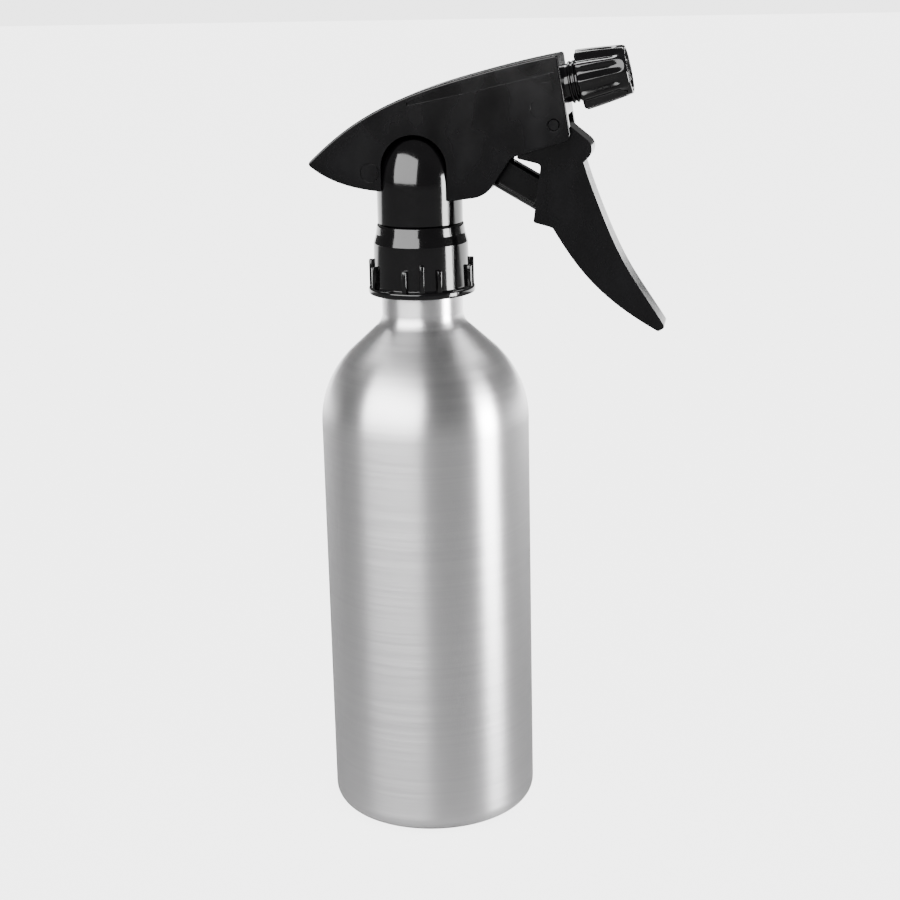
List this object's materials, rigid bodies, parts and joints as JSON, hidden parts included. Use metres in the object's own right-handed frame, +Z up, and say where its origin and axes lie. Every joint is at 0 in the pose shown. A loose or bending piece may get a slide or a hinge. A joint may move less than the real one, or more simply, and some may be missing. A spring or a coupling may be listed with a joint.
{
  "type": "hand mister",
  "caption": "Aluminium bottle with a screw-on trigger spray head: sprung trigger, sliding piston, ball valves and an adjustable screw nozzle.",
  "frame": {"origin": "centre of the bottle's flat base", "axes": "+Z up along the bottle's axis, +X towards the nozzle, +Y to the left as seen along the spray"},
  "size_m": [0.1091, 0.066, 0.2463],
  "materials": {
    "aluminium": "fine circumferential brushing, satin",
    "black_gloss": "moulded, glossy",
    "black_satin": "moulded, satin",
    "clear_tube": "translucent, extruded",
    "white_plastic": "moulded, natural",
    "rubber_seal": "moulded, matt",
    "pale_gasket": "soft, matt",
    "spring_steel": "drawn wire",
    "steel_ball": "polished"
  },
  "bodies": {
    "bottle": {"bottle": "aluminium"},
    "head": {"pump_body": "black_gloss", "shroud_left": "black_satin", "shroud_right": "black_satin", "neck_gasket": "pale_gasket", "tube_retainer": "white_plastic", "dip_tube": "clear_tube", "trigger_pivot_pin": "black_satin", "spinner": "white_plastic", "return_spring": "spring_steel", "outlet_valve_spring": "spring_steel"},
    "closure": {"closure_collar": "black_gloss"},
    "trigger": {"trigger": "black_satin"},
    "piston": {"piston_rod": "black_satin", "piston_cup": "rubber_seal", "piston_wiper": "rubber_seal"},
    "inlet_ball": {"inlet_valve_ball": "steel_ball"},
    "outlet_ball": {"outlet_valve_ball": "steel_ball"},
    "nozzle_slide": {"nozzle_seal": "rubber_seal"},
    "nozzle": {"nozzle_cap": "black_gloss", "orifice_insert": "black_satin"}
  },
  "joints": [
    {"name": "head_lift", "type": "slide", "parent": "bottle", "child": "head", "axis": [0, 0, 1], "range_m": [0, 0.0053]},
    {"name": "closure_turn", "type": "hinge", "parent": "head", "child": "closure", "pos_m": [0, 0, 0.18], "axis": [0, 0, 1], "range_deg": [0, 452]},
    {"name": "trigger_pivot", "type": "hinge", "parent": "head", "child": "trigger", "pos_m": [0.0429, 0, 0.2234], "axis": [0, 1, 0], "range_deg": [0, 20], "stiffness_Nm_per_rad": 0.27, "springref_deg": -28.65},
    {"name": "piston_slide", "type": "slide", "parent": "head", "child": "piston", "axis": [-0.866, 0, 0.5], "range_m": [0, 0.0075], "deforming": ["return_spring"]},
    {"name": "inlet_ball_lift", "type": "slide", "parent": "head", "child": "inlet_ball", "axis": [0, 0, 1], "range_m": [0, 0.0012]},
    {"name": "outlet_ball_lift", "type": "slide", "parent": "head", "child": "outlet_ball", "axis": [0.9778, 0, 0.2096], "range_m": [0, 0.001], "stiffness_N_per_m": 60, "springref_m": -0.003, "deforming": ["outlet_valve_spring"]},
    {"name": "nozzle_travel", "type": "slide", "parent": "head", "child": "nozzle_slide", "axis": [0.9778, 0, 0.2096], "range_m": [-0.0033, 0.0007]},
    {"name": "nozzle_turn", "type": "hinge", "parent": "nozzle_slide", "child": "nozzle", "pos_m": [0.05005, 0, 0.2358], "axis": [0.9778, 0, 0.2096], "range_deg": [-900, 180]}
  ],
  "couplings": [
    {"joint": "closure_turn", "follows": "head_lift", "rad_per_m": 1485.4},
    {"joint": "piston_slide", "follows": "trigger_pivot", "m_per_rad": 0.0214},
    {"joint": "nozzle_travel", "follows": "nozzle_turn", "m_per_rad": 0.0002069}
  ]
}
